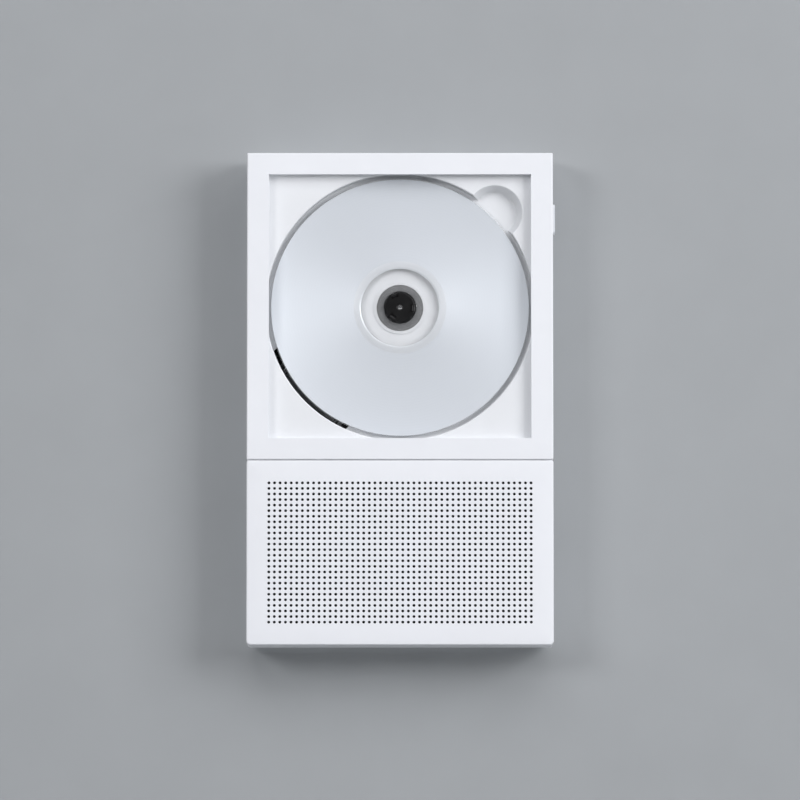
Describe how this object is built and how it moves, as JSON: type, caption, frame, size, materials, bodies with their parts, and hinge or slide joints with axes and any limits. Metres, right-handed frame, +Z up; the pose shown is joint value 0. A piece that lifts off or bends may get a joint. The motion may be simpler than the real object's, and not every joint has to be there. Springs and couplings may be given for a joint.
{
  "type": "wall mounted disc player",
  "caption": "Slim square disc player with an open front and a finger notch, joined to a perforated speaker unit under it, hung flat on a wall.",
  "frame": {"origin": "on the wall plane, at the axis of the disc", "axes": "+X to the right seen from the front, +Y into the wall along the axis of the disc, +Z up"},
  "size_m": [0.1423, 0.028, 0.2281],
  "materials": {
    "white_plastic": "fine satin moulding",
    "grey_plastic": "fine satin moulding",
    "steel": "bright plated",
    "disc": "silvered under clear lacquer",
    "hub_plastic": "satin",
    "black_plastic": "satin",
    "rubber": "matte",
    "motor_can": "drawn steel",
    "chassis_plastic": "moulded, fine grain",
    "sled_metal": "die cast",
    "gear_plastic": "natural acetal",
    "brass": "machined",
    "lens_glass": "coated",
    "board": "solder mask",
    "battery_film": "foil pouch",
    "cloth": "open weave",
    "basket_steel": "black paint",
    "magnet": "sintered, ground faces",
    "cone_paper": "pressed paper"
  },
  "bodies": {
    "case": {"front_frame": "white_plastic", "disc_tray": "white_plastic", "player_shell": "white_plastic", "player_back": "grey_plastic", "frame_screws": "steel", "player_screws": "steel", "spindle_motor": "motor_can", "mechanism_chassis": "chassis_plastic", "damper_bushes": "rubber", "damper_screws": "steel", "guide_rods": "steel", "feed_motor": "motor_can", "rocker_switches": "board", "key_switches": "board", "main_board": "board", "board_screws": "steel", "charge_socket": "steel", "headphone_jack": "black_plastic", "battery": "battery_film", "speaker_link": "black_plastic", "join_plate": "steel", "join_screws": "steel", "speaker_front": "white_plastic", "grille_cloth": "cloth", "driver_baffle": "chassis_plastic", "driver_baskets": "basket_steel", "driver_screws": "steel", "driver_magnets": "magnet", "left_surround": "rubber", "right_surround": "rubber", "speaker_shell": "white_plastic", "speaker_back": "grey_plastic", "amplifier_board": "board", "speaker_screws": "steel"},
    "spindle": {"turntable": "hub_plastic", "turntable_pad": "rubber", "hub_claws": "black_plastic", "motor_shaft": "steel"},
    "disc": {"disc": "disc"},
    "sled": {"pickup_sled": "sled_metal", "sled_rack": "gear_plastic", "lens_cover": "black_plastic"},
    "lens": {"lens_holder": "black_plastic", "objective_lens": "lens_glass"},
    "feed_gear": {"feed_gear": "gear_plastic"},
    "motor_pinion": {"motor_pinion": "brass"},
    "volume_rocker": {"volume_rocker": "white_plastic"},
    "play_key": {"play_key": "white_plastic"},
    "previous_key": {"previous_key": "white_plastic"},
    "next_key": {"next_key": "white_plastic"},
    "left_cone": {"left_cone": "cone_paper", "left_dust_cap": "cone_paper"},
    "right_cone": {"right_cone": "cone_paper", "right_dust_cap": "cone_paper"}
  },
  "joints": [
    {"name": "turntable_spin", "type": "hinge", "parent": "case", "child": "spindle", "pos_m": [0, -0.02, 0], "axis": [0, 1, 0], "continuous": true},
    {"name": "disc_lift", "type": "slide", "parent": "spindle", "child": "disc", "axis": [0, -1, 0], "range_m": [0, 0.03]},
    {"name": "sled_feed", "type": "slide", "parent": "case", "child": "sled", "axis": [-0.7071, 0, -0.7071], "range_m": [0, 0.0345]},
    {"name": "lens_focus", "type": "slide", "parent": "sled", "child": "lens", "axis": [0, -1, 0], "range_m": [-0.0005, 0.0005], "stiffness_N_per_m": 40},
    {"name": "feed_gear_spin", "type": "hinge", "parent": "case", "child": "feed_gear", "pos_m": [-0.03992, -0.015, -0.00392], "axis": [0, 1, 0], "range_deg": [-1, 566]},
    {"name": "motor_pinion_spin", "type": "hinge", "parent": "case", "child": "motor_pinion", "pos_m": [-0.04281, -0.015, 0.00689], "axis": [0, 1, 0], "range_deg": [-1696, 1]},
    {"name": "volume_rock", "type": "hinge", "parent": "case", "child": "volume_rocker", "pos_m": [0.0672, -0.0155, 0.0414], "axis": [0, 1, 0], "range_deg": [-2.5, 2.5], "stiffness_Nm_per_rad": 0.15},
    {"name": "play_press", "type": "slide", "parent": "case", "child": "play_key", "axis": [0, 0, -1], "range_m": [0, 0.0005], "stiffness_N_per_m": 1000, "springref_m": -0.0006},
    {"name": "previous_press", "type": "slide", "parent": "case", "child": "previous_key", "axis": [0, 0, -1], "range_m": [0, 0.0005], "stiffness_N_per_m": 1000, "springref_m": -0.0006},
    {"name": "next_press", "type": "slide", "parent": "case", "child": "next_key", "axis": [0, 0, -1], "range_m": [0, 0.0005], "stiffness_N_per_m": 1000, "springref_m": -0.0006},
    {"name": "left_cone_move", "type": "slide", "parent": "case", "child": "left_cone", "axis": [0, 1, 0], "range_m": [-0.001, 0.001], "stiffness_N_per_m": 800, "deforming": ["left_surround"]},
    {"name": "right_cone_move", "type": "slide", "parent": "case", "child": "right_cone", "axis": [0, 1, 0], "range_m": [-0.001, 0.001], "stiffness_N_per_m": 800, "deforming": ["right_surround"]}
  ],
  "couplings": [
    {"joint": "feed_gear_spin", "follows": "sled_feed", "rad_per_m": 285.71},
    {"joint": "motor_pinion_spin", "follows": "sled_feed", "rad_per_m": -857.14}
  ]
}
